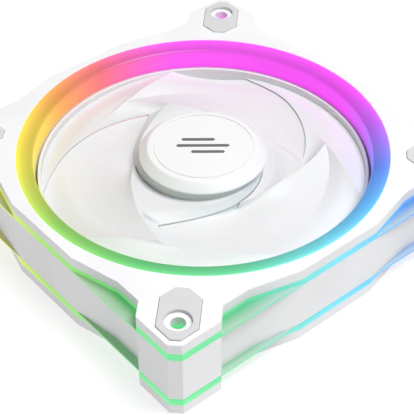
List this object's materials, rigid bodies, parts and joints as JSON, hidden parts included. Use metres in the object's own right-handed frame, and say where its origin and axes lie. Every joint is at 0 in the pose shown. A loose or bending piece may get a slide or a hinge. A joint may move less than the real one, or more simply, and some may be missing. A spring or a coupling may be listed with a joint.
{
  "type": "case fan",
  "caption": "Square computer case fan with lit rings and side bands at both faces, wide curved blades joined by an outer ring, and rubber corner pads.",
  "frame": {"origin": "centre of the fan at the plane of the rear pads, on the rotor axis", "axes": "+Z along the rotor axis towards the front face with the hub cap; X and Y along the sides of the square frame"},
  "size_m": [0.12, 0.12, 0.028],
  "materials": {
    "shell_white": "fine satin, moulded",
    "pad_rubber": "soft matt",
    "light_front": "translucent, lit from inside in changing colours",
    "light_rear": "translucent, lit from inside in changing colours",
    "rotor_white": "frosted, slightly translucent",
    "cap_white": "satin",
    "mark_grey": "printed",
    "board_white": "solder mask",
    "led": "clear",
    "screw_steel": "zinc plated",
    "grommet_rubber": "matt",
    "label_film": "satin film, blank",
    "board_green": "solder mask",
    "chip_black": "moulded",
    "brass": "turned",
    "bronze": "sintered",
    "nylon": "natural",
    "core_steel": "laminated",
    "copper": "enamelled wire",
    "yoke_steel": "plated",
    "magnet": "bonded ferrite",
    "shaft_steel": "ground"
  },
  "bodies": {
    "housing": {"front_plate": "shell_white", "front_light_ring": "light_front", "front_light_band": "light_front", "frame_corner_a": "shell_white", "frame_corner_b": "shell_white", "frame_corner_c": "shell_white", "frame_corner_d": "shell_white", "motor_mount": "shell_white", "rear_light_band": "light_rear", "rear_light_ring": "light_rear", "rear_plate": "shell_white", "front_pad_a": "pad_rubber", "front_pad_b": "pad_rubber", "front_pad_c": "pad_rubber", "front_pad_d": "pad_rubber", "rear_pad_a": "pad_rubber", "rear_pad_b": "pad_rubber", "rear_pad_c": "pad_rubber", "rear_pad_d": "pad_rubber", "front_led_board": "board_white", "front_leds": "led", "rear_led_board": "board_white", "rear_leds": "led", "assembly_screws": "screw_steel", "cable_grommet": "grommet_rubber", "motor_label": "label_film", "motor_board": "board_green", "driver_chip": "chip_black", "hall_sensor": "chip_black", "bearing_tube": "brass", "bearing_sleeve": "bronze", "oil_seal": "nylon", "thrust_pad": "nylon", "stator_core": "core_steel", "front_insulator": "nylon", "rear_insulator": "nylon", "stator_coils": "copper"},
    "rotor": {"impeller_hub": "rotor_white", "blade_a": "rotor_white", "blade_b": "rotor_white", "blade_c": "rotor_white", "impeller_ring": "rotor_white", "hub_cap": "cap_white", "cap_mark": "mark_grey", "rotor_yoke": "yoke_steel", "rotor_magnet": "magnet", "shaft": "shaft_steel", "retaining_clip": "nylon"}
  },
  "joints": [
    {"name": "fan_spin", "type": "hinge", "parent": "housing", "child": "rotor", "pos_m": [0, 0, 0.014], "axis": [0, 0, 1], "continuous": true}
  ]
}
